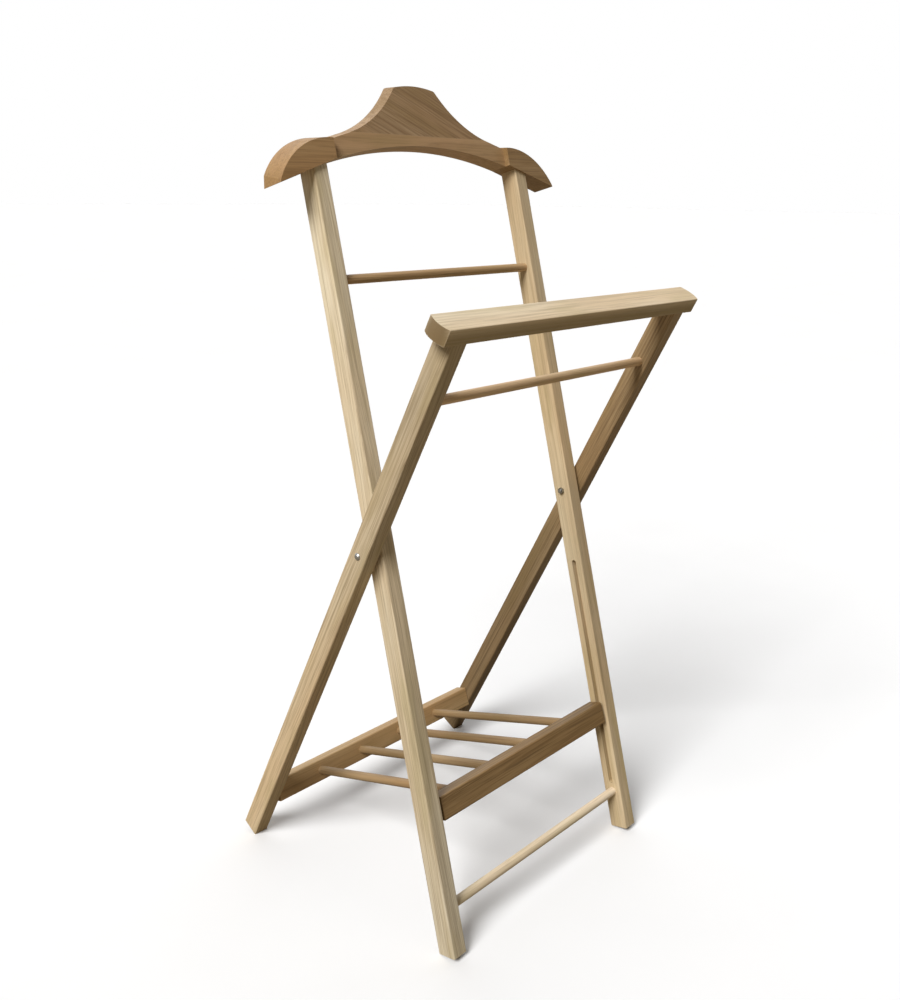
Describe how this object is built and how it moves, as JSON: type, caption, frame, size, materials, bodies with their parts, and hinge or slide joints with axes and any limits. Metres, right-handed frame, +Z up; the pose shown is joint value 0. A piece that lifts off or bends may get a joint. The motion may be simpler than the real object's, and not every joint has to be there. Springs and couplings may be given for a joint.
{
  "type": "valet stand",
  "caption": "Folding wooden valet stand: crossed leg frames with a shaped coat hanger, a trouser bar and a slatted shoe rack.",
  "frame": {"origin": "on the floor, centred left to right and front to back under the open stand", "axes": "+Z up, +X to the stand's right as seen from the front, +Y to the rear; the trouser bar is at the front"},
  "size_m": [0.494, 0.4306, 1.0599],
  "materials": {
    "leg_wood": "planed pale hardwood, thin clear oil",
    "rail_wood": "planed pale hardwood, thin clear oil",
    "hanger_wood": "sanded brown hardwood, thin clear oil",
    "shoulder_wood": "sanded brown hardwood, thin clear oil",
    "bar_wood": "turned hardwood, thin clear oil",
    "rack_wood": "planed hardwood, thin clear oil",
    "dowel_wood": "plain fluted dowel stock",
    "steel": "zinc-plated steel"
  },
  "bodies": {
    "tall_frame": {"tall_leg_left": "leg_wood", "tall_leg_right": "leg_wood", "tall_upper_bar": "bar_wood", "tall_lower_bar": "bar_wood", "hanger_arch_board": "hanger_wood", "hanger_neck_block": "hanger_wood", "shoulder_block_left": "shoulder_wood", "shoulder_block_right": "shoulder_wood", "shoulder_dowels": "dowel_wood", "leg_top_dowels": "dowel_wood", "crossing_bolts": "steel", "crossing_nuts": "steel", "crossing_spacers": "steel"},
    "short_frame": {"short_leg_left": "leg_wood", "short_leg_right": "leg_wood", "short_cross_bar": "bar_wood", "trouser_bar": "rail_wood", "trouser_bar_dowels": "dowel_wood"},
    "groove_pins": {"groove_pins": "steel"},
    "shoe_rack": {"rack_front_rail": "rack_wood", "rack_rear_rail": "rack_wood", "rack_bar_1": "bar_wood", "rack_bar_2": "bar_wood", "rack_bar_3": "bar_wood", "rack_bar_4": "bar_wood", "rack_rear_pins": "steel"}
  },
  "joints": [
    {"name": "fold", "type": "hinge", "parent": "tall_frame", "child": "short_frame", "pos_m": [0, -0.0492, 0.4993], "axis": [-1, 0, 0], "range_deg": [0, 35.8]},
    {"name": "groove_slide", "type": "slide", "parent": "tall_frame", "child": "groove_pins", "axis": [0, 0.2538, 0.9673], "range_m": [0, 0.174]},
    {"name": "rack_tilt", "type": "hinge", "parent": "groove_pins", "child": "shoe_rack", "pos_m": [0, -0.13395, 0.17623], "axis": [-1, 0, 0], "range_deg": [0, 77]}
  ],
  "couplings": [
    {"joint": "groove_slide", "follows": "fold", "m_per_rad": 0.278},
    {"joint": "rack_tilt", "follows": "fold", "ratio": 2.1461}
  ]
}
